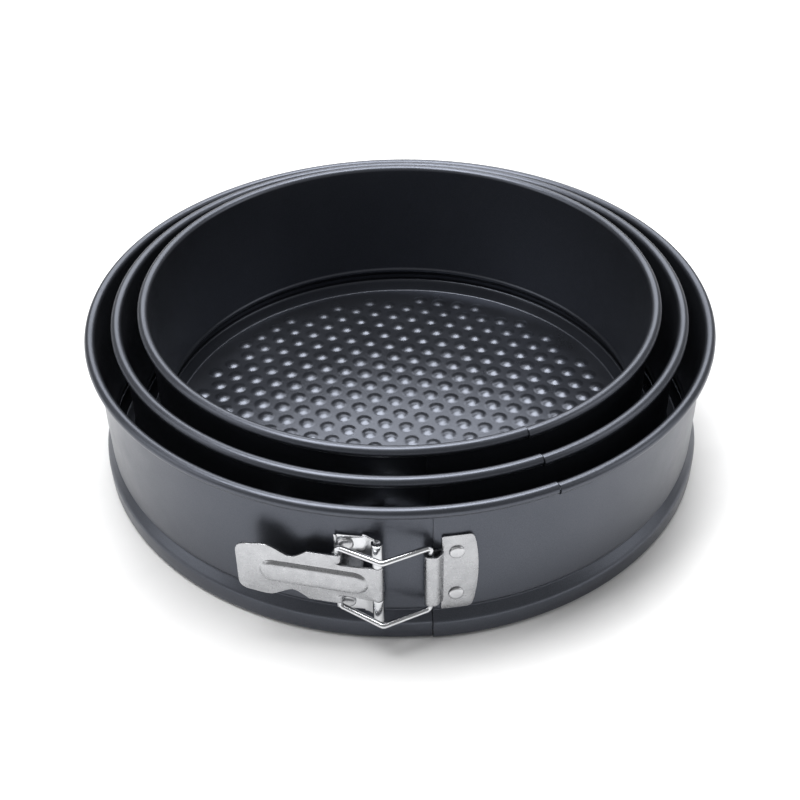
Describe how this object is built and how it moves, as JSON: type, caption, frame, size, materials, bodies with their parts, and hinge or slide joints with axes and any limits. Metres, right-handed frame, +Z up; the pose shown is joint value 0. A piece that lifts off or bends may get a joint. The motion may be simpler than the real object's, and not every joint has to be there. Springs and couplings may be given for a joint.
{
  "type": "springform pan set",
  "caption": "Round nonstick springform cake pans nested in one another, each a loose dimpled base in a rolled-rim band with an over-centre lever clasp.",
  "frame": {"origin": "middle of the underside of the largest base, on the surface it stands on", "axes": "+Z up; -Y towards the clasps; +X to the right of someone facing the clasps"},
  "size_m": [0.29, 0.2975, 0.0812],
  "materials": {
    "nonstick_band": "semi-gloss dark blue-grey nonstick coating with a fine grain",
    "nonstick_base": "semi-gloss dark blue-grey nonstick coating over a dimpled floor",
    "clasp_plate": "satin plated steel, faintly mottled",
    "lever_bracket": "bright plated steel",
    "clasp_wire": "bright drawn wire with fine lengthwise draw marks",
    "pivot_pin": "satin steel",
    "rivet": "satin set rivet head"
  },
  "bodies": {
    "outer_base": {"outer_base": "nonstick_base", "outer_base_edge": "nonstick_base"},
    "outer_band_left": {"outer_band_left": "nonstick_band", "outer_lever_bracket": "lever_bracket", "outer_pivot_pin": "pivot_pin", "outer_bracket_rivet_upper": "rivet", "outer_bracket_rivet_lower": "rivet"},
    "outer_band_right": {"outer_band_right": "nonstick_band", "outer_catch_plate": "clasp_plate", "outer_catch_wire": "clasp_wire", "outer_catch_rivet_upper": "rivet", "outer_catch_rivet_lower": "rivet"},
    "outer_lever": {"outer_lever": "clasp_plate"},
    "outer_bail": {"outer_bail_upper_arm": "clasp_wire", "outer_bail_lower_arm": "clasp_wire"},
    "middle_pan": {"middle_base": "nonstick_base", "middle_base_edge": "nonstick_base", "middle_band": "nonstick_band", "middle_bail": "clasp_wire", "middle_lever_bracket": "lever_bracket", "middle_lever": "clasp_plate", "middle_catch_plate": "clasp_plate", "middle_pivot_pin": "pivot_pin", "middle_catch_rivet_upper": "rivet", "middle_catch_rivet_lower": "rivet", "middle_bracket_rivet_upper": "rivet", "middle_bracket_rivet_lower": "rivet"},
    "inner_pan": {"inner_base": "nonstick_base", "inner_base_edge": "nonstick_base", "inner_band": "nonstick_band", "inner_bail": "clasp_wire", "inner_lever_bracket": "lever_bracket", "inner_lever": "clasp_plate", "inner_catch_plate": "clasp_plate", "inner_pivot_pin": "pivot_pin", "inner_catch_rivet_upper": "rivet", "inner_catch_rivet_lower": "rivet", "inner_bracket_rivet_upper": "rivet", "inner_bracket_rivet_lower": "rivet"}
  },
  "joints": [
    {"name": "lever_swing", "type": "hinge", "parent": "outer_band_left", "child": "outer_lever", "pos_m": [-0.0094, -0.1455, 0.0358], "axis": [0, 0, 1], "range_deg": [0, 150]},
    {"name": "bail_swing", "type": "hinge", "parent": "outer_lever", "child": "outer_bail", "pos_m": [-0.02515, -0.14216, 0.0358], "axis": [0, 0, 1], "range_deg": [-124.47, 0]},
    {"name": "left_half_flex", "type": "hinge", "parent": "outer_base", "child": "outer_band_left", "pos_m": [0, 0.1448, 0.0358], "axis": [0, 0, 1], "range_deg": [-2.52, 0]},
    {"name": "band_opening", "type": "hinge", "parent": "outer_band_left", "child": "outer_band_right", "pos_m": [0, 0.1448, 0.0358], "axis": [0, 0, 1], "range_deg": [0, 4.99]},
    {"name": "middle_lift", "type": "slide", "parent": "outer_base", "child": "middle_pan", "axis": [0, 0, 1], "range_m": [0, 0.09]},
    {"name": "inner_lift", "type": "slide", "parent": "middle_pan", "child": "inner_pan", "axis": [0, 0, 1], "range_m": [0, 0.09]}
  ],
  "couplings": [
    {"joint": "bail_swing", "follows": "lever_swing", "ratio": -0.82649},
    {"joint": "left_half_flex", "follows": "lever_swing", "ratio": -0.016472},
    {"joint": "band_opening", "follows": "lever_swing", "ratio": 0.032945}
  ]
}
